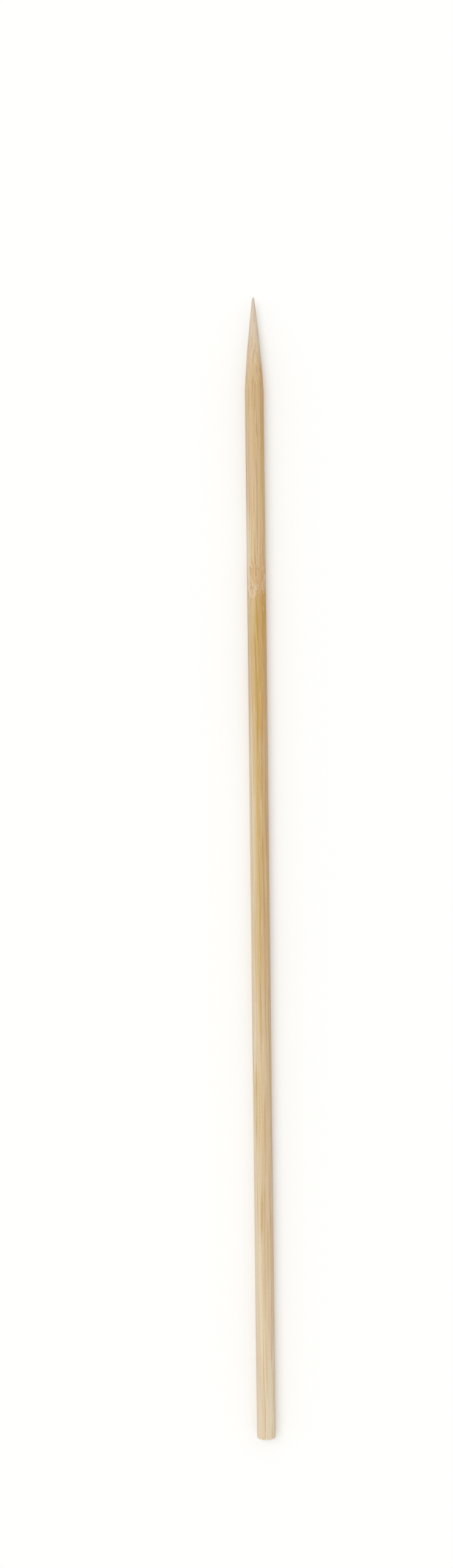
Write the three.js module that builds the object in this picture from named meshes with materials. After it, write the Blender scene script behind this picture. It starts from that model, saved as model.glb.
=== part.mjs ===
// A round bamboo skewer: one stick with a flat sawn butt, a straight shaft and a long sharpened tip.
// Millimetres, Z up. The stick lies level, its axis on Y: the butt's face is at y = 0, the tip at +Y.

import * as THREE from "three";

// The stick
const skewerLength = 300;
const shaftDiameter = 5;

// The butt, sawn square, with its corner worn round
const buttEdgeRadius = 0.25;

// The tip, ground to a slightly bellied cone with a blunt nose
const taperLength = 24.5;
const taperBelly = 0.19; // how far the taper stands out from a straight cone, halfway along it
const noseDiameter = 0.6;

// How finely the surface is divided
const sides = 64;
const buttEdgeSteps = 4;
const shaftSpans = 12;
const taperSpans = 14;
const noseSteps = 4;

const bambooColour = 0xdcc59c;
const bambooRoughness = 0.62;

const shaftRadius = shaftDiameter / 2;
const noseRadius = noseDiameter / 2;
const shoulderY = skewerLength - taperLength;
const noseY = skewerLength - noseRadius;

// Part of a circle in the outline, from one angle to another about its own centre.
function outlineArc(centreRadius, centreY, radius, fromAngle, toAngle, steps) {
  const arc = new THREE.EllipseCurve(centreRadius, centreY, radius, radius, fromAngle, toAngle);
  return arc.getPoints(steps);
}

// The flat of the butt from its middle to the worn corner, and round that corner.
function buttOutline() {
  const corner = outlineArc(
    shaftRadius - buttEdgeRadius, buttEdgeRadius, buttEdgeRadius, -Math.PI / 2, 0, buttEdgeSteps,
  );
  return [new THREE.Vector2(0, 0), ...corner];
}

// The straight side of the shaft, up to where the grinding starts.
function shaftOutline() {
  const side = new THREE.LineCurve(
    new THREE.Vector2(shaftRadius, buttEdgeRadius),
    new THREE.Vector2(shaftRadius, shoulderY),
  );
  return side.getPoints(shaftSpans);
}

// The bellied taper, from the shoulder to where the nose begins.
function taperOutline() {
  const middleRadius = (shaftRadius + noseRadius) / 2 + 2 * taperBelly;
  const taper = new THREE.QuadraticBezierCurve(
    new THREE.Vector2(shaftRadius, shoulderY),
    new THREE.Vector2(middleRadius, (shoulderY + noseY) / 2),
    new THREE.Vector2(noseRadius, noseY),
  );
  return taper.getPoints(taperSpans);
}

// The blunt nose, a half ball whose last point is on the axis.
function noseOutline() {
  const nose = outlineArc(0, noseY, noseRadius, 0, Math.PI / 2, noseSteps);
  nose[noseSteps] = new THREE.Vector2(0, skewerLength);
  return nose;
}

// Joins stretches of outline, leaving out each stretch's first point where it repeats the last one.
function joinOutlines(...stretches) {
  return stretches.reduce((whole, stretch) => whole.concat(stretch.slice(1)));
}

function bamboo() {
  return new THREE.MeshStandardMaterial({
    name: "bamboo",
    color: bambooColour,
    roughness: bambooRoughness,
    metalness: 0,
  });
}

function skewer() {
  const outline = joinOutlines(buttOutline(), shaftOutline(), taperOutline(), noseOutline());
  const mesh = new THREE.Mesh(new THREE.LatheGeometry(outline, sides), bamboo());
  mesh.name = "skewer";
  return mesh;
}

const part = new THREE.Group();
part.add(skewer());

export default part;
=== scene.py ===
"""A round bamboo skewer, lying on a pale floor: its grain, its node, its ground tip and its sawn butt."""

import math

import bpy
from bpy.props import FloatProperty, FloatVectorProperty, PointerProperty
from bpy.types import Operator, Panel, PropertyGroup
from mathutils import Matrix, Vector


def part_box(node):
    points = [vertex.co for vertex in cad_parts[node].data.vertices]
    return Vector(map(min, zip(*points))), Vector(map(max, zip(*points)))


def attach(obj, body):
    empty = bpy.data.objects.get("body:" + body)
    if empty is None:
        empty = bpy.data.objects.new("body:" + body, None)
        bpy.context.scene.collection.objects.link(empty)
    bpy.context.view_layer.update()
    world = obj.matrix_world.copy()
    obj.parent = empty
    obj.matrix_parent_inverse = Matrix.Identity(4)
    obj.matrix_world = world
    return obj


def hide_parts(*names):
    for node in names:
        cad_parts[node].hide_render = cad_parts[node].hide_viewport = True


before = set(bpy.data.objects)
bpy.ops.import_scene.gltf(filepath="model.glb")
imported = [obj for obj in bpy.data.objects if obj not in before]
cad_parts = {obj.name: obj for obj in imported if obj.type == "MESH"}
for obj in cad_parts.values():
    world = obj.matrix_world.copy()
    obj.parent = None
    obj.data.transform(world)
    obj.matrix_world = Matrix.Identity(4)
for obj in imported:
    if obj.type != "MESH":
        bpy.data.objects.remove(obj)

bl_info = {
    "name": "Bamboo Skewer",
    "version": (1, 0, 0),
    "blender": (4, 5, 0),
    "location": "3D View > Sidebar > Skewer",
    "description": "Builds a round bamboo skewer with its grain, and the floor and light it lies in",
    "category": "Object",
}

MILLIMETRE = 0.001
QUARTER_TURN = math.pi / 2
TURN = 2 * math.pi

# The solid as it was loaded. It gives the stick its length and thickness
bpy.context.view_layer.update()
stick_low, stick_high = (Vector(corner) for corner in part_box("skewer"))
STICK_LENGTH = stick_high.y - stick_low.y
STICK_DIAMETER = stick_high.x - stick_low.x

# How finely the stick's surface is divided
SIDES = 168
BUTT_STEP = 0.15 * MILLIMETRE
EDGE_STEPS = 6
SHAFT_STEP = 1.2 * MILLIMETRE
NODE_STEP = 0.2 * MILLIMETRE
NODE_REACH = 9 * MILLIMETRE
TAPER_STEP = 0.3 * MILLIMETRE
NOSE_STEPS = 6

# The map of the stick's surface: its side cut into equal lengths next to each other, the butt's face above
MAP_LENGTHS = 3
MAP_SIDE_SHARE = 0.88
MAP_GAP = 0.015

# How strong each tint is, at millimetres from the butt
TAN_ALONG = (
    (0, 0.0),
    (28, 0.12),
    (55, 0.45),
    (100, 0.55),
    (140, 0.75),
    (200, 0.95),
    (235, 0.75),
    (277, 0.9),
    (288, 0.45),
    (300, 0.3),
)
SKIN_TAN_ALONG = ((100, 0.03), (200, 0.08))
PALE_END_ALONG = ((5, 0.35), (40, 0.0))
PITH_SIDE_ALONG = (
    (20, 0.0),
    (50, 0.45),
    (170, 0.45),
    (200, 0.0),
    (221, 0.0),
    (231, 0.45),
    (238, 0.45),
    (248, 0.0),
)
AMBER_ALONG = ((112, 0.0), (136, 0.45), (170, 0.55), (190, 0.95), (222, 1.0))
YELLOW_ALONG = ((103, 0.0), (127, 0.45), (208, 0.45), (232, 0.0))
# Painted pinkish reflected light down the +X side, along the stick
PINK_REFLECTION_ALONG = ((0, 0.0), (35, 0.35), (180, 0.35), (220, 0.0))
# Painted orange reflected light on the +X side near the tip, along the stick
WARM_REFLECTION_ALONG = ((254, 0.0), (268, 0.5), (276, 0.85), (281, 0.85), (290, 0.0))
GROUND_TIP_ALONG = ((280, 0.0), (295, 0.85))
BUNDLES_ALONG = ((90, 0.42), (150, 0.67), (274, 0.62), (286, 0.45), (295, 0.4))

# Where each tint begins and where it is full, in millimetres from the middle towards the skin side, and how
# far the streaks carry the skin side's edge
SKIN_SIDE = (-0.6, -0.2)
SKIN_BY_STREAKS = 0.6
PITH_SIDE = (-0.3, -1.6)
# Painted pinkish reflected light down the +X side, across the stick
PINK_REFLECTION_SIDE = (0.0, 1.8)
# Painted orange reflected light on the +X side near the tip, across the stick
WARM_REFLECTION_SIDE = (1.0, 2.0)

# The two edges of the yellow streak, in the same direction, and how soft they are
YELLOW_BAND = (-1.2, 0.35)
YELLOW_SOFTNESS = 0.5

# Where the amber begins below the node and where it is full, in millimetres above it
AMBER_BELOW_NODE = (-0.3, -2.6)

# How often each unevenness of the bamboo comes and goes in a millimetre, across the stick and along it
FIBRES = (5.5, 0.07)
THREADS = (3.8, 0.015)
THREAD_LENGTHS = (0.4, 0.02)
STREAKS = (1.7, 0.022)
PATCHES = (0.9, 0.03)
PORES = (13.0, 1.3)
MOTTLE = (0.3, 0.045)
SWELLS = (0.25, 0.05)

# How far the mottle carries a tint along the stick, and how far off the patches are read, in millimetres
MOTTLE_REACH = 20.0
PATCHES_APART = 22.22

# The bundles of fibre: how many in a millimetre, how scattered, and how strong the faintest of them is
BUNDLES = 1.4
BUNDLE_SCATTER = 0.8
FAINTEST_BUNDLE = 0.35

# The spots in a bundle: their middles and half sizes, in the bundles' spacing, and where a spot ends and
# where it is full, in the square of its half sizes
OUTER_CAP = (0.17, 0.0, 0.15, 0.21)
INNER_CAP = (-0.2, 0.0, 0.1, 0.15)
UPPER_VESSEL = (-0.02, 0.11, 0.05, 0.055)
LOWER_VESSEL = (-0.02, -0.11, 0.05, 0.055)
SPOT_EDGE = (1.7, 0.5)

# How much closer the bundles lie, in each direction, for a millimetre towards the skin side
CROWDING_X = 0.13
CROWDING_Z = 0.08

# How the grain wanders everywhere and at the node: how often in a millimetre, and how far in millimetres
DRIFT_ALONG = 0.016
DRIFT_REACH = 1.5
WAVES = (0.3, 0.03)
WAVE_REACH = 0.75
SWERVES = (0.55, 0.24)
SWERVE_REACH = 1.4

# Where the grain bends about the node, in millimetres above it, and how far it does
SWERVE_FROM = -2.6
SWERVE_TO = 6.4
SWERVE_SOFTNESS = 2.4
LEAN = 0.55
LEAN_FADES_ABOVE = (8.0, 0.4)
LEAN_FADES_BELOW = (-4.8, -0.2)
GATHERING = 0.4
GATHERING_GROWS = (0.2, -3.0)
GATHERING_FADES = (-8.5, -2.6)

# The flank that the node leaves calm: from the middle towards the pith side, and up from the axis
CALM_ACROSS = (-0.9, -2.2)
CALM_UP = (0.2, 1.2)
CALM = 0.85

# The pale wavy line at the node: how often it waves and breaks in a millimetre, and its reach and thickness
ARCH_WAVES = 0.5
ARCH_BREAKS = 0.9
ARCH_REACH = 3.4
ARCH_HALF_WIDTH = 0.12
ARCH_SOFTNESS = 0.2

# The leaf-shaped scar of a side bud below the node, in millimetres above it and from the middle
BUD_TOP = 0.3
BUD_POINT = -3.7
BUD_TOP_FADES = (0.45, 0.2)
BUD_POINT_FADES = (-4.0, -3.3)
BUD_SIDE = -1.1
BUD_WIDTH = 2.3
BUD_LINE = (0.34, 0.06)
BUD_RAGGEDNESS = 0.9
BUD_RAGS = (1.6, 0.8)
BUD_FACES_UP = (0.0, 0.8)
BUD_FAINTER_BY_POINT = 0.5

# The saw's ridges on the butt: how often in a millimetre along and across them, and their slant
SAW_ALONG = 0.3
SAW_ACROSS = 5.0
SAW_SLANT = 1.2
SAW_FADES = (0.12, 0.0)

# The chips round the butt's edge: how often in a millimetre, how deep, and how far up the side
CHIPS = 1.3
CHIP_DEPTH = 0.06
CHIP_FADES = (0.7, 0.0)

# How far the tissues stand out of the surface, in millimetres: in the mesh, and more finely as bump
PITH_LEVEL = -0.016
SWELL = 0.02
MESH_HEIGHTS = {"Caps": 0.012, "Vessels": -0.015, "Arch": 0.01, "Saw Marks": 0.004}
BUMP_HEIGHTS = {
    "Caps": 0.012,
    "Vessels": -0.02,
    "Fibres": 0.03,
    "Pores": 0.012,
    "Arch": 0.02,
    "Saw Marks": 0.03,
}

# Where the butt's bare face gives way to the worn rim with its painted highlight, and the rim to the side, in
# millimetres from the butt
FACE_FADES = (0.14, 0.02)
RIM_GROWS = (0.06, 0.14)
RIM_FADES = (0.48, 0.26)

# How far the fibres and the streaks carry the rim's edge, in millimetres
RIM_BY_FIBRES = 0.6
RIM_BY_STREAKS = 0.9

# How matt the bamboo and the floor are
ROUGHNESS = 0.6
ROUGHNESS_OF_FIBRES = 0.25
SMOOTHNESS_OF_CAPS = 0.08
SPECULAR_LEVEL = 0.35
FLOOR_ROUGHNESS = 0.8
FLOOR_SPECULAR_LEVEL = 0.2

# The photograph's frame, in its own pixels
PHOTO_WIDTH = 744
PHOTO_HEIGHT = 2576
PHOTO_TIP = Vector((415.7, 488.5))
PHOTO_BUTT = Vector((437.6, 2361.0))
PHOTO_FOCAL_LENGTH = 2800
SENSOR_SIZE = 36

# The nearest that the camera sees
NEAR_LIMIT = 10 * MILLIMETRE

# Towards the key light, from the stick
KEY_DIRECTION = (-0.35, 0.3, 1.0)


def srgb(red, green, blue):
    """A colour as a picture names it, from 0 to 255, in the linear values that a shader takes."""
    levels = (value / 255 for value in (red, green, blue))
    return tuple(level / 12.92 if level <= 0.04045 else ((level + 0.055) / 1.055) ** 2.4 for level in levels)


class Field:
    """A value or a vector in a node tree. Sums on it add the nodes that work them out."""

    def __init__(self, tree, socket):
        self.tree = tree
        self.socket = socket

    def math(self, operation, *values):
        node = self.tree.nodes.new("ShaderNodeMath")
        node.operation = operation
        for socket, value in zip(node.inputs, values):
            feed(self.tree, socket, value)
        return Field(self.tree, node.outputs[0])

    def __add__(self, other):
        return self.math("ADD", self, other)

    def __sub__(self, other):
        return self.math("SUBTRACT", self, other)

    def __rsub__(self, other):
        return self.math("SUBTRACT", other, self)

    def __mul__(self, other):
        return self.math("MULTIPLY", self, other)

    def __abs__(self):
        return self.math("ABSOLUTE", self)

    __radd__ = __add__
    __rmul__ = __mul__


def feed(tree, socket, value):
    """Gives a socket a field to follow, or a plain value."""
    if isinstance(value, Field):
        tree.links.new(value.socket, socket)
    else:
        socket.default_value = value


def larger(first, second):
    return first.math("MAXIMUM", first, second)


def rise(value, start, end, shape="SMOOTHSTEP"):
    """0 up to start and 1 from end on, with a step between. It falls where start is above end."""
    node = value.tree.nodes.new("ShaderNodeMapRange")
    node.interpolation_type = shape
    feed(value.tree, node.inputs["Value"], value)
    feed(value.tree, node.inputs["From Min"], start)
    feed(value.tree, node.inputs["From Max"], end)
    return Field(value.tree, node.outputs["Result"])


def between(value, start, end, softness):
    """1 from start to end and 0 beyond them, with soft edges."""
    return rise(value, start - softness, start + softness) * rise(value, end + softness, end - softness)


def parts(vector):
    """The three parts of a vector."""
    node = vector.tree.nodes.new("ShaderNodeSeparateXYZ")
    feed(vector.tree, node.inputs[0], vector)
    return tuple(Field(vector.tree, socket) for socket in node.outputs)


def vector_of(tree, x, y, z):
    node = tree.nodes.new("ShaderNodeCombineXYZ")
    for socket, value in zip(node.inputs, (x, y, z)):
        feed(tree, socket, value)
    return Field(tree, node.outputs[0])


def drawn_out(x, y, z, fineness):
    """Where to read a noise that comes and goes this often, across the stick and along it."""
    across, along = fineness
    return x * across, y * along, z * across


def noise_node(tree, x, y, z, detail, roughness=0.5):
    """Smooth noise. A plain number in place of a coordinate picks one sheet or line of it."""
    node = tree.nodes.new("ShaderNodeTexNoise")
    feed(tree, node.inputs["Vector"], vector_of(tree, x, y, z))
    node.inputs["Scale"].default_value = 1.0
    node.inputs["Detail"].default_value = detail
    node.inputs["Roughness"].default_value = roughness
    return node


def noise(tree, x, y, z, detail=1.0, roughness=0.5):
    """A value from about 0.2 to 0.8."""
    return Field(tree, noise_node(tree, x, y, z, detail, roughness).outputs["Fac"])


def wander(tree, x, y, z, reach, detail=1.0):
    """Shifts along X and Z, each of up to about a third of reach either way."""
    shift_x, _, shift_z = parts(Field(tree, noise_node(tree, x, y, z, detail).outputs["Color"]))
    return (shift_x - 0.5) * reach, (shift_z - 0.5) * reach


def cells(tree, x, y, scale):
    """Scattered points in a sheet. Gives how far a place is from the nearest of them, in spacings and along
    each of its two directions, and that point's own random value."""
    node = tree.nodes.new("ShaderNodeTexVoronoi")
    node.voronoi_dimensions = "2D"
    feed(tree, node.inputs["Vector"], vector_of(tree, x, y, 0.0))
    node.inputs["Scale"].default_value = scale
    node.inputs["Randomness"].default_value = BUNDLE_SCATTER
    centre_x, centre_y, _ = parts(Field(tree, node.outputs["Position"]))
    own_value = parts(Field(tree, node.outputs["Color"]))[0]
    return (x - centre_x) * scale, (y - centre_y) * scale, own_value


def spot(x, y, centre_x, centre_y, width, height):
    """1 inside an ellipse and 0 well outside it."""
    across = (x - centre_x) * (1 / width)
    up = (y - centre_y) * (1 / height)
    return rise(across * across + up * up, *SPOT_EDGE)


def ramp(place, length, stops):
    """A value that changes along the stick, between stops given as millimetres from the butt and value."""
    tree = place.tree
    node = tree.nodes.new("ShaderNodeValToRGB")
    elements = node.color_ramp.elements
    node.color_ramp.interpolation = "EASE"
    while len(elements) < len(stops):
        elements.new(1.0)
    for element, (distance, value) in zip(elements, stops):
        element.position = distance / length
        element.color = (value, value, value, 1.0)
    feed(tree, node.inputs[0], place * (1 / length))
    return Field(tree, node.outputs["Color"])


def blend(factor, first, second):
    """One colour turning into another."""
    tree = factor.tree
    node = tree.nodes.new("ShaderNodeMix")
    node.data_type = "RGBA"
    sockets = {socket.identifier: socket for socket in node.inputs}
    feed(tree, sockets["Factor_Float"], factor)
    for name, colour in (("A_Color", first), ("B_Color", second)):
        feed(tree, sockets[name], colour if isinstance(colour, Field) else (*colour, 1.0))
    results = {socket.identifier: socket for socket in node.outputs}
    return Field(tree, results["Result_Color"])


def bud_scar(x, z, above_node):
    """The pale outline that a side bud leaves in the wood just below the node: a narrow leaf, point down."""
    rags_across, rags_down = BUD_RAGS
    ragged = (noise(x.tree, x * rags_across, above_node * rags_down, 2.0) - 0.5) * BUD_RAGGEDNESS
    across = abs(x - BUD_SIDE + ragged)
    down = rise(above_node, BUD_TOP, BUD_POINT, "LINEAR")
    half_width = down.math("SQRT", down) * (1.0 - down) * BUD_WIDTH
    near_outline = rise(abs(across - half_width), *BUD_LINE)
    inside_length = rise(above_node, *BUD_TOP_FADES) * rise(above_node, *BUD_POINT_FADES)
    faint = 1.0 - down * BUD_FAINTER_BY_POINT
    return near_outline * inside_length * rise(z, *BUD_FACES_UP) * faint


def node_arch(x, z, above_node):
    """The pale wavy line at the node itself, broken here and there."""
    wave = noise(x.tree, x * ARCH_WAVES, 0.0, z * ARCH_WAVES) - 0.5
    from_arch = above_node + wave * ARCH_REACH
    unbroken = rise(noise(x.tree, x * ARCH_BREAKS, 5.0, z * ARCH_BREAKS), 0.42, 0.6)
    return between(from_arch, -ARCH_HALF_WIDTH, ARCH_HALF_WIDTH, ARCH_SOFTNESS) * unbroken


def saw_marks(x, y, z):
    """Fine ridges that the saw leaves across the butt's face."""
    ridges = noise(x.tree, x * SAW_ALONG, 4.0, z * SAW_ACROSS + x * SAW_SLANT, roughness=0.6)
    return rise(ridges, 0.36, 0.62) * rise(y, *SAW_FADES)


def bent_grain(tree, x, y, z, above_node, at_node):
    """Where the grain at a place comes from, across the stick. It wanders a little everywhere, swerves and
    leans where it crosses the node, and is drawn together below it."""
    drift_x, drift_z = wander(tree, 3.0, y * DRIFT_ALONG, 7.0, DRIFT_REACH)
    wave_x, wave_z = wander(tree, *drawn_out(x, y, z, WAVES), WAVE_REACH)
    swerve_x, swerve_z = wander(tree, *drawn_out(x, y, z, SWERVES), SWERVE_REACH, detail=2.0)
    lean = rise(above_node, *LEAN_FADES_ABOVE) * rise(above_node, *LEAN_FADES_BELOW) * LEAN
    gathering = rise(above_node, *GATHERING_GROWS) * rise(above_node, *GATHERING_FADES) * GATHERING
    grain_x = (x + drift_x + wave_x + swerve_x * at_node - lean) * (1.0 + gathering)
    grain_z = z + drift_z + wave_z + swerve_z * at_node
    return grain_x, grain_z


def grain_of(tree, place, node_place):
    """The stick's inner structure at a place in millimetres: long bundles of fibre that run the way of
    the stick through pale pith, closer together towards the skin of the cane, which is the +X side. Each
    bundle has a hard cap on both sides of its two vessels."""
    x, y, z = parts(place)
    above_node = y - node_place
    calm = rise(x, *CALM_ACROSS) * rise(z, *CALM_UP) * CALM
    at_node = between(above_node, SWERVE_FROM, SWERVE_TO, SWERVE_SOFTNESS) * (1.0 - calm)
    grain_x, grain_z = bent_grain(tree, x, y, z, above_node, at_node)

    crowded_x = grain_x + grain_x * grain_x * (CROWDING_X / 2)
    crowded_z = grain_z + grain_z * grain_x * CROWDING_Z
    from_x, from_z, own_tone = cells(tree, crowded_x, crowded_z, BUNDLES)
    strength = FAINTEST_BUNDLE + own_tone * (1.0 - FAINTEST_BUNDLE)
    caps = larger(spot(from_x, from_z, *OUTER_CAP), spot(from_x, from_z, *INNER_CAP))
    vessels = larger(spot(from_x, from_z, *UPPER_VESSEL), spot(from_x, from_z, *LOWER_VESSEL))
    in_grain = (grain_x, y, grain_z)
    return {
        "Caps": caps * strength,
        "Vessels": vessels * strength,
        "Fibres": noise(tree, *drawn_out(*in_grain, FIBRES), detail=3.0, roughness=0.6),
        "Threads": noise(tree, *drawn_out(*in_grain, THREADS)),
        "Streaks": noise(tree, *drawn_out(*in_grain, STREAKS), detail=2.0),
        "Pores": noise(tree, *drawn_out(*in_grain, PORES)),
        "Arch": larger(node_arch(x, z, above_node), bud_scar(x, z, above_node)),
        "Saw Marks": saw_marks(x, y, z),
        "At Node": at_node,
        "Grain X": grain_x,
    }


def grain_group(node_place):
    """The stick's inner structure as a node group, to be read anywhere on its surface."""
    group = bpy.data.node_groups.new("Bamboo grain", "ShaderNodeTree")
    group.interface.new_socket("Place", in_out="INPUT", socket_type="NodeSocketVector")
    inside = group.nodes.new("NodeGroupInput")
    fields = grain_of(group, Field(group, inside.outputs["Place"]), node_place)
    for name in fields:
        group.interface.new_socket(name, in_out="OUTPUT", socket_type="NodeSocketFloat")
    outside = group.nodes.new("NodeGroupOutput")
    for name, field in fields.items():
        feed(group, outside.inputs[name], field)
    return group


def along_mottled(settings, place):
    """Gives a ramp along the stick whose tints begin and end unevenly round it."""
    x, y, z = parts(place)
    mottle = noise(place.tree, *drawn_out(x, y, z, MOTTLE), detail=2.0) - 0.5
    mottled_y = y + mottle * MOTTLE_REACH
    return lambda stops: ramp(mottled_y, settings.length / MILLIMETRE, stops)


def broad_tints(settings, place, grain):
    """Tints over wide stretches of the stick, as share and colour: tanner to the skin side, pith on the inner
    side, amber on the skin side below the node, and painted reflected light, pinkish down the +X side and
    orange on it near the tip."""
    x, y, z = parts(place)
    along = along_mottled(settings, place)
    above_node = y - settings.node_place / MILLIMETRE
    streaks = grain["Streaks"] - 0.5
    patches = noise(place.tree, *drawn_out(x + PATCHES_APART, y, z, PATCHES), detail=2.0)
    skin_side = rise(grain["Grain X"] + streaks * SKIN_BY_STREAKS, *SKIN_SIDE)
    below_node = rise(above_node, *AMBER_BELOW_NODE)
    amber = skin_side * below_node * along(AMBER_ALONG)
    yellow_band = between(grain["Grain X"], *YELLOW_BAND, YELLOW_SOFTNESS)
    return (
        (along(TAN_ALONG) + x * along(SKIN_TAN_ALONG) + streaks * 0.9, settings.tan),
        (rise(patches, 0.5, 0.62) * 0.4, settings.blush_and_pink_reflection),
        (along(PALE_END_ALONG) + rise(x, *PITH_SIDE) * along(PITH_SIDE_ALONG), settings.pith),
        (amber * (0.95 + streaks * 0.8), settings.amber),
        (amber * rise(grain["Fibres"], 0.52, 0.68) * 0.6, settings.honey),
        (yellow_band * along(YELLOW_ALONG), settings.golden),
        # Painted pinkish reflected light down the +X side
        (rise(x, *PINK_REFLECTION_SIDE) * along(PINK_REFLECTION_ALONG), settings.blush_and_pink_reflection),
        # Painted orange reflected light on the +X side near the tip
        (rise(x, *WARM_REFLECTION_SIDE) * along(WARM_REFLECTION_ALONG), settings.warm_lines_and_reflection),
    )


def fine_lines(settings, place, grain):
    """The lines that run with the grain, as share and colour."""
    x, y, z = parts(place)
    along = along_mottled(settings, place)
    fibres, threads, at_node = grain["Fibres"], grain["Threads"], grain["At Node"]
    on_butt = rise(y, *FACE_FADES)
    golden_lengths = noise(place.tree, *drawn_out(x, y, z, THREAD_LENGTHS), detail=0.0)
    golden = rise(threads, 0.55, 0.62) * rise(golden_lengths, 0.44, 0.56) * (1.0 - on_butt)
    return (
        (golden * 0.55, settings.golden),
        (along(GROUND_TIP_ALONG), settings.rosy),
        (grain["Caps"] * along(BUNDLES_ALONG), settings.fibre),
        (grain["Vessels"] * 0.4, settings.vessel),
        (rise(fibres, 0.46, 0.34) * (0.35 - on_butt * 0.2), settings.pith),
        (rise(threads, 0.5, 0.57) * at_node * 0.5, settings.warm_lines_and_reflection),
        (rise(fibres, 0.5, 0.57) * at_node * 0.35, settings.warm_lines_and_reflection),
        (rise(fibres, 0.46, 0.38) * at_node * 0.4, settings.pith),
        (rise(grain["Pores"], 0.56, 0.7) * 0.2, settings.fibre),
        (grain["Arch"] * 0.35, settings.pith),
    )


def butt_marks(settings, place, grain):
    """The darker end grain on the butt's face, and the pale rim round it, partly wear and partly a painted
    highlight, as share and colour.
    """
    y = parts(place)[1]
    on_butt = rise(y, *FACE_FADES)
    ragged_y = y + (grain["Fibres"] - 0.5) * RIM_BY_FIBRES + (grain["Streaks"] - 0.5) * RIM_BY_STREAKS
    worn_rim_and_highlight = rise(y, *RIM_GROWS) * rise(ragged_y, *RIM_FADES)
    return (
        (on_butt * 0.2 + grain["Saw Marks"] * 0.25, settings.fibre),
        (grain["Caps"] * on_butt * 0.6, settings.fibre),
        (grain["Vessels"] * on_butt * 0.6, settings.vessel),
        # Pale wear on the rim, made stronger as a painted highlight where the rounded edge turns from the
        # light
        (worn_rim_and_highlight * 0.75, settings.pith),
    )


def colour_of(settings, place, grain):
    """The stick's colour, as tints laid one after another over its palest one."""
    colour = settings.pale
    for tints in (broad_tints, fine_lines, butt_marks):
        for share, tint in tints(settings, place, grain):
            colour = blend(share, colour, tint)
    return colour


def standing_out(grain, heights):
    """How far the surface stands out, as the sum of what each tissue adds."""
    return sum(grain[name] * height for name, height in heights.items())


def bamboo_material(settings):
    material = bpy.data.materials.new("Bamboo")
    material.use_nodes = True
    tree = material.node_tree
    shader = tree.nodes["Principled BSDF"]

    coordinates = tree.nodes.new("ShaderNodeTexCoord")
    scaling = tree.nodes.new("ShaderNodeVectorMath")
    scaling.operation = "SCALE"
    scaling.inputs["Scale"].default_value = 1 / MILLIMETRE
    tree.links.new(coordinates.outputs["Object"], scaling.inputs[0])
    place = Field(tree, scaling.outputs[0])

    group = tree.nodes.new("ShaderNodeGroup")
    group.node_tree = grain_group(settings.node_place / MILLIMETRE)
    feed(tree, group.inputs["Place"], place)
    grain = {socket.name: Field(tree, socket) for socket in group.outputs}

    feed(tree, shader.inputs["Base Color"], colour_of(settings, place, grain))
    roughness = ROUGHNESS + (grain["Fibres"] - 0.5) * ROUGHNESS_OF_FIBRES - grain["Caps"] * SMOOTHNESS_OF_CAPS
    feed(tree, shader.inputs["Roughness"], roughness)
    shader.inputs["Specular IOR Level"].default_value = SPECULAR_LEVEL

    bump = tree.nodes.new("ShaderNodeBump")
    bump.inputs["Strength"].default_value = 1.0
    bump.inputs["Distance"].default_value = MILLIMETRE
    feed(tree, bump.inputs["Height"], standing_out(grain, BUMP_HEIGHTS))
    tree.links.new(bump.outputs["Normal"], shader.inputs["Normal"])
    return material


def relief_tree(settings):
    """Shapes the stick's skin: pith sunk between the bundles, cut vessels, the node's lines, slow swells, and
    saw marks and chips at the butt."""
    tree = bpy.data.node_groups.new("Stick relief", "GeometryNodeTree")
    tree.interface.new_socket("Geometry", in_out="INPUT", socket_type="NodeSocketGeometry")
    tree.interface.new_socket("Geometry", in_out="OUTPUT", socket_type="NodeSocketGeometry")
    inside = tree.nodes.new("NodeGroupInput")
    outside = tree.nodes.new("NodeGroupOutput")
    position = tree.nodes.new("GeometryNodeInputPosition")
    normal = tree.nodes.new("GeometryNodeInputNormal")
    scaling = tree.nodes.new("ShaderNodeVectorMath")
    scaling.operation = "SCALE"
    scaling.inputs["Scale"].default_value = 1 / MILLIMETRE
    tree.links.new(position.outputs[0], scaling.inputs[0])
    place = Field(tree, scaling.outputs[0])
    grain = grain_of(tree, place, settings.node_place / MILLIMETRE)

    x, y, z = parts(place)
    swell = noise(tree, *drawn_out(x, y, z, SWELLS))
    chips = rise(noise(tree, x * CHIPS, 9.0, z * CHIPS, detail=2.0), 0.5, 0.66)
    chipped = chips * rise(y, *CHIP_FADES)
    height = PITH_LEVEL + standing_out(grain, MESH_HEIGHTS) - swell * SWELL - chipped * CHIP_DEPTH

    sinking = tree.nodes.new("ShaderNodeVectorMath")
    sinking.operation = "SCALE"
    tree.links.new(normal.outputs[0], sinking.inputs[0])
    feed(tree, sinking.inputs["Scale"], height * MILLIMETRE)
    shifting = tree.nodes.new("GeometryNodeSetPosition")
    tree.links.new(inside.outputs[0], shifting.inputs["Geometry"])
    tree.links.new(sinking.outputs[0], shifting.inputs["Offset"])
    tree.links.new(shifting.outputs[0], outside.inputs[0])
    return tree


def spaced(start, end, step):
    """Even stations from just after start up to end, about a step apart."""
    count = max(1, round((end - start) / step))
    return [start + (end - start) * (index + 1) / count for index in range(count)]


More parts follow.
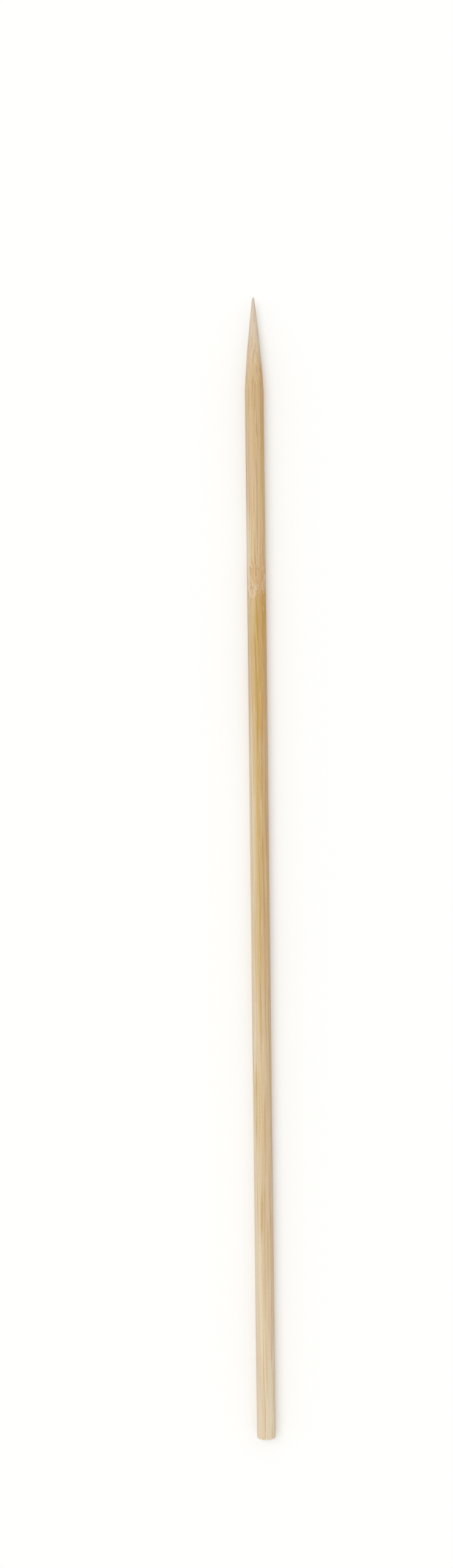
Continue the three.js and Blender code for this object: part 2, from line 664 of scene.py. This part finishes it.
def stick_outline(settings):
    """The stick's outline from the middle of the butt to the nose, as radii and distances from the butt."""
    radius = settings.diameter / 2
    nose = settings.nose_diameter / 2
    edge = settings.edge_radius
    shoulder = settings.length - settings.taper_length
    nose_start = settings.length - nose
    node_start = settings.node_place - NODE_REACH
    node_end = settings.node_place + NODE_REACH

    outline = [(0.0, 0.0)]
    outline += [(station, 0.0) for station in spaced(0.0, radius - edge, BUTT_STEP)]
    for turned in spaced(0.0, QUARTER_TURN, QUARTER_TURN / EDGE_STEPS):
        outline.append((radius - edge + edge * math.sin(turned), edge - edge * math.cos(turned)))
    for start, end, step in (
        (edge, node_start, SHAFT_STEP),
        (node_start, node_end, NODE_STEP),
        (node_end, shoulder, SHAFT_STEP),
    ):
        outline += [(radius, station) for station in spaced(start, end, step)]
    middle = (radius + nose) / 2 + 2 * settings.taper_belly
    for along in spaced(0.0, 1.0, TAPER_STEP / settings.taper_length):
        left = 1 - along
        ground = left * left * radius + 2 * left * along * middle + along * along * nose
        outline.append((ground, shoulder + (nose_start - shoulder) * along))
    for turned in spaced(0.0, QUARTER_TURN, QUARTER_TURN / NOSE_STEPS)[:-1]:
        outline.append((nose * math.cos(turned), nose_start + nose * math.sin(turned)))
    outline.append((0.0, settings.length))
    return outline


def turned_point(radius, distance, side):
    """The outline's point at one of the sides, once it is turned about the Y axis."""
    angle = TURN * side / SIDES
    return (radius * math.sin(angle), distance, radius * math.cos(angle))


def turned_mesh(name, outline):
    """The outline turned about the Y axis, with a map of its surface. Its ends lie on the axis."""
    points = []
    ring_starts = []
    for radius, distance in outline:
        ring_starts.append(len(points))
        sides = SIDES if radius > 0 else 1
        points += [turned_point(radius, distance, side) for side in range(sides)]

    faces = []
    places = []
    unrolled = unrolled_side(outline)
    for ring in range(len(outline) - 1):
        on_butt = outline[ring + 1][1] == 0.0
        for side in range(SIDES):
            around = {}
            for at_ring, at_side in ((ring, side), (ring, side + 1), (ring + 1, side + 1), (ring + 1, side)):
                on_axis = outline[at_ring][0] == 0.0
                vertex = ring_starts[at_ring] + (0 if on_axis else at_side % SIDES)
                around[vertex] = (
                    butt_place(outline, points[vertex])
                    if on_butt
                    else side_place(unrolled, ring, at_ring, side + 0.5 if on_axis else at_side)
                )
            faces.append(tuple(around))
            places += around.values()

    mesh = bpy.data.meshes.new(name)
    mesh.from_pydata(points, [], faces)
    mesh.shade_smooth()
    surface_map = mesh.uv_layers.new(name="OFBake")
    surface_map.uv.foreach_set("vector", [value for place in places for value in place])
    return mesh


def unrolled_side(outline):
    """How far each ring lies up the side, from 0 at the butt's face to MAP_LENGTHS at the nose."""
    travelled = [0.0]
    for here, there in zip(outline, outline[1:]):
        on_butt = there[1] == 0.0
        travelled.append(travelled[-1] + (0.0 if on_butt else math.dist(here, there)))
    return [distance / travelled[-1] * MAP_LENGTHS for distance in travelled]


def side_place(unrolled, face_ring, ring, side):
    """Where a corner of the side lies on the map, in the column of the length that its face belongs to."""
    column = min(int(unrolled[face_ring]), MAP_LENGTHS - 1)
    across = column + MAP_GAP + (1 - 2 * MAP_GAP) * side / SIDES
    up = MAP_GAP + (1 - 2 * MAP_GAP) * (unrolled[ring] - column)
    return across / MAP_LENGTHS, up * MAP_SIDE_SHARE


def butt_place(outline, point):
    """Where a point of the butt's face lies on the map, in a square above the side."""
    radius = max(reach for reach, distance in outline if distance == 0.0)
    square = 1 - MAP_SIDE_SHARE - MAP_GAP
    return (
        square * (0.5 + point[0] / (2 * radius)) + MAP_GAP / 2,
        square * (0.5 + point[2] / (2 * radius)) + MAP_SIDE_SHARE + MAP_GAP / 2,
    )


class StickSettings(PropertyGroup):
    """The stick's sizes and colours."""

    length: FloatProperty(
        name="Length",
        description="From the sawn butt to the tip",
        default=STICK_LENGTH,
        unit="LENGTH",
    )
    diameter: FloatProperty(
        name="Diameter",
        description="Thickness of the straight shaft",
        default=STICK_DIAMETER,
        unit="LENGTH",
    )
    taper_length: FloatProperty(
        name="Taper Length",
        description="From the shoulder, where the grinding starts, to the tip",
        default=24.5 * MILLIMETRE,
        unit="LENGTH",
    )
    taper_belly: FloatProperty(
        name="Taper Belly",
        description="How far the taper stands out from a straight cone, halfway along it",
        default=0.19 * MILLIMETRE,
        unit="LENGTH",
    )
    nose_diameter: FloatProperty(
        name="Nose Diameter",
        description="Thickness of the blunt nose",
        default=0.6 * MILLIMETRE,
        unit="LENGTH",
    )
    edge_radius: FloatProperty(
        name="Butt Edge Radius",
        description="Rounding of the worn corner round the sawn butt",
        default=0.25 * MILLIMETRE,
        unit="LENGTH",
    )
    node_place: FloatProperty(
        name="Node",
        description="From the butt to the cane's node",
        default=224 * MILLIMETRE,
        unit="LENGTH",
    )
    pale: FloatVectorProperty(
        name="Pale",
        description="Pith and fibre of the pale lower half",
        default=srgb(226, 207, 174),
        subtype="COLOR",
    )
    tan: FloatVectorProperty(
        name="Tan",
        description="Pith and fibre of the darker upper half",
        default=srgb(205, 173, 123),
        subtype="COLOR",
    )
    amber: FloatVectorProperty(
        name="Amber",
        description="The skin side below the node",
        default=srgb(198, 157, 86),
        subtype="COLOR",
    )
    golden: FloatVectorProperty(
        name="Golden",
        description="Thin yellow lines along the grain, and the yellow streak in the middle",
        default=srgb(203, 170, 88),
        subtype="COLOR",
    )
    honey: FloatVectorProperty(
        name="Honey",
        description="The deepest lines in the amber",
        default=srgb(190, 143, 62),
        subtype="COLOR",
    )
    rosy: FloatVectorProperty(
        name="Rosy",
        description="The pinkish tint of the ground tip",
        default=srgb(216, 198, 177),
        subtype="COLOR",
    )
    # Real faint pink patches, and also the painted pinkish reflected light down the +X side
    blush_and_pink_reflection: FloatVectorProperty(
        name="Blush",
        description="The pinkish tint down one side and in faint patches",
        default=srgb(213, 184, 160),
        subtype="COLOR",
    )
    # Real orange lines at the node, and also the painted orange reflected light on the +X side near the tip
    warm_lines_and_reflection: FloatVectorProperty(
        name="Warm",
        description="The orange lines that swerve across the node, and the skin side near the tip",
        default=srgb(204, 156, 104),
        subtype="COLOR",
    )
    fibre: FloatVectorProperty(
        name="Fibre",
        description="The hard caps of the fibre bundles, the pores and the end grain",
        default=srgb(176, 136, 86),
        subtype="COLOR",
    )
    vessel: FloatVectorProperty(
        name="Vessel",
        description="The cut vessels inside the fibre bundles",
        default=srgb(132, 96, 58),
        subtype="COLOR",
    )
    # Pith also paints the highlight on the worn rim round the butt
    pith: FloatVectorProperty(
        name="Pith",
        description="The palest pith, between the bundles, at the node and round the worn rim",
        default=srgb(236, 224, 200),
        subtype="COLOR",
    )


class StageSettings(PropertyGroup):
    """The floor and the light."""

    floor_colour: FloatVectorProperty(
        name="Floor",
        description="The pale floor",
        default=srgb(238, 238, 236),
        subtype="COLOR",
    )
    floor_size: FloatProperty(
        name="Floor Size",
        description="Side of the square floor",
        default=6.0,
        unit="LENGTH",
    )
    ambient: FloatProperty(
        name="Ambient Light",
        description="Strength of the even light from all round",
        default=0.74,
    )
    key_strength: FloatProperty(
        name="Key Light",
        description="Strength of the soft light from the upper left",
        default=0.9,
    )
    key_angle: FloatProperty(
        name="Key Light Size",
        description="How wide the soft light looks from the stick, so how soft its shadow is",
        default=math.radians(40),
        subtype="ANGLE",
    )


def seen_directly(tree):
    """1 for what the camera sees, straight or through gloss and glass, and 0 for the light on things."""
    path = tree.nodes.new("ShaderNodeLightPath")
    rays = [Field(tree, path.outputs[f"Is {kind} Ray"]) for kind in ("Camera", "Glossy", "Transmission")]
    return larger(larger(rays[0], rays[1]), rays[2])


def white_world(settings):
    """Even light from all round, seen as plain white."""
    world = bpy.data.worlds.new("Studio")
    world.use_nodes = True
    tree = world.node_tree
    background = tree.nodes["Background"]
    background.inputs["Color"].default_value = (1.0, 1.0, 1.0, 1.0)
    strength = settings.ambient + seen_directly(tree) * (1.0 - settings.ambient)
    feed(tree, background.inputs["Strength"], strength)
    return world


def floor_material(settings):
    """A pale floor that keeps the shadow and is lifted to white where it is looked at."""
    material = bpy.data.materials.new("Pale floor")
    material.use_nodes = True
    tree = material.node_tree
    shader = tree.nodes["Principled BSDF"]
    shader.inputs["Base Color"].default_value = (*settings.floor_colour, 1.0)
    shader.inputs["Roughness"].default_value = FLOOR_ROUGHNESS
    shader.inputs["Specular IOR Level"].default_value = FLOOR_SPECULAR_LEVEL
    lift = tree.nodes.new("ShaderNodeEmission")
    feed(tree, lift.inputs["Strength"], seen_directly(tree) * (1.0 - settings.floor_colour[1]))
    both = tree.nodes.new("ShaderNodeAddShader")
    tree.links.new(shader.outputs[0], both.inputs[0])
    tree.links.new(lift.outputs[0], both.inputs[1])
    tree.links.new(both.outputs[0], tree.nodes["Material Output"].inputs["Surface"])
    return material


def add_camera(scene, length):
    """Looks straight down, turned and placed so that the stick's ends fall where the photograph has them."""
    along = Vector((PHOTO_TIP.x - PHOTO_BUTT.x, PHOTO_BUTT.y - PHOTO_TIP.y))
    scale = along.length / length
    turn = math.atan2(along.x, along.y)
    right = Vector((math.cos(turn), math.sin(turn), 0.0))
    up = Vector((-math.sin(turn), math.cos(turn), 0.0))
    butt_right = (PHOTO_BUTT.x - PHOTO_WIDTH / 2) / scale
    butt_up = (PHOTO_HEIGHT / 2 - PHOTO_BUTT.y) / scale

    data = bpy.data.cameras.new("Camera")
    data.sensor_width = SENSOR_SIZE
    data.lens = SENSOR_SIZE * PHOTO_FOCAL_LENGTH / PHOTO_HEIGHT
    data.clip_start = NEAR_LIMIT
    camera = bpy.data.objects.new("Camera", data)
    camera.location = Vector((0.0, 0.0, PHOTO_FOCAL_LENGTH / scale)) - right * butt_right - up * butt_up
    camera.rotation_euler = (0.0, 0.0, turn)
    scene.collection.objects.link(camera)
    scene.camera = camera


def add_key_light(scene, settings):
    """A soft light from the upper left, even over the whole floor."""
    data = bpy.data.lights.new("Key light", "SUN")
    data.energy = settings.key_strength
    data.angle = settings.key_angle
    lamp = bpy.data.objects.new("Key light", data)
    lamp.rotation_euler = Vector(KEY_DIRECTION).to_track_quat("Z", "Y").to_euler()
    scene.collection.objects.link(lamp)


class SKEWER_OT_build_stick(Operator):
    """Build the stick, with its grain, its node, its ground tip and its sawn butt"""

    bl_idname = "skewer.build_stick"
    bl_label = "Build Stick"

    def execute(self, context):
        settings = context.scene.skewer_stick
        mesh = turned_mesh("Stick", stick_outline(settings))
        stick = bpy.data.objects.new("Stick", mesh)
        context.collection.objects.link(stick)
        relief = stick.modifiers.new("Relief", "NODES")
        relief.node_group = relief_tree(settings)
        shaped = stick.evaluated_get(context.evaluated_depsgraph_get())
        stick.data = bpy.data.meshes.new_from_object(shaped)
        stick.modifiers.clear()
        stick.data.materials.append(bamboo_material(settings))
        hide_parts("skewer")
        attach(stick, "root")
        return {"FINISHED"}


class SKEWER_OT_build_stage(Operator):
    """Build the pale floor, the soft light and the camera"""

    bl_idname = "skewer.build_stage"
    bl_label = "Build Stage"

    def execute(self, context):
        scene = context.scene
        settings = scene.skewer_stage
        half = settings.floor_size / 2
        mesh = bpy.data.meshes.new("Floor")
        corners = ((-half, -half), (half, -half), (half, half), (-half, half))
        mesh.from_pydata([(x, y, 0.0) for x, y in corners], [], [(0, 1, 2, 3)])
        mesh.materials.append(floor_material(settings))
        floor = bpy.data.objects.new("Floor", mesh)
        floor.location.z = stick_low.z
        scene.collection.objects.link(floor)
        scene.world = white_world(settings)
        add_key_light(scene, settings)
        add_camera(scene, STICK_LENGTH)
        scene.view_settings.view_transform = "Standard"
        return {"FINISHED"}


class VIEW3D_PT_skewer(Panel):
    """Lists what can be built"""

    bl_label = "Bamboo Skewer"
    bl_space_type = "VIEW_3D"
    bl_region_type = "UI"
    bl_category = "Skewer"

    def draw(self, context):
        for settings, operator in (
            (context.scene.skewer_stick, SKEWER_OT_build_stick),
            (context.scene.skewer_stage, SKEWER_OT_build_stage),
        ):
            for name in settings.__annotations__:
                self.layout.prop(settings, name)
            self.layout.operator(operator.bl_idname)


CLASSES = (
    StickSettings,
    StageSettings,
    SKEWER_OT_build_stick,
    SKEWER_OT_build_stage,
    VIEW3D_PT_skewer,
)


def register():
    for item in CLASSES:
        bpy.utils.register_class(item)
    bpy.types.Scene.skewer_stick = PointerProperty(type=StickSettings)
    bpy.types.Scene.skewer_stage = PointerProperty(type=StageSettings)


def unregister():
    del bpy.types.Scene.skewer_stage
    del bpy.types.Scene.skewer_stick
    for item in reversed(CLASSES):
        bpy.utils.unregister_class(item)


def main():
    register()
    bpy.ops.skewer.build_stick()
    bpy.ops.skewer.build_stage()


if __name__ == "__main__":
    main()
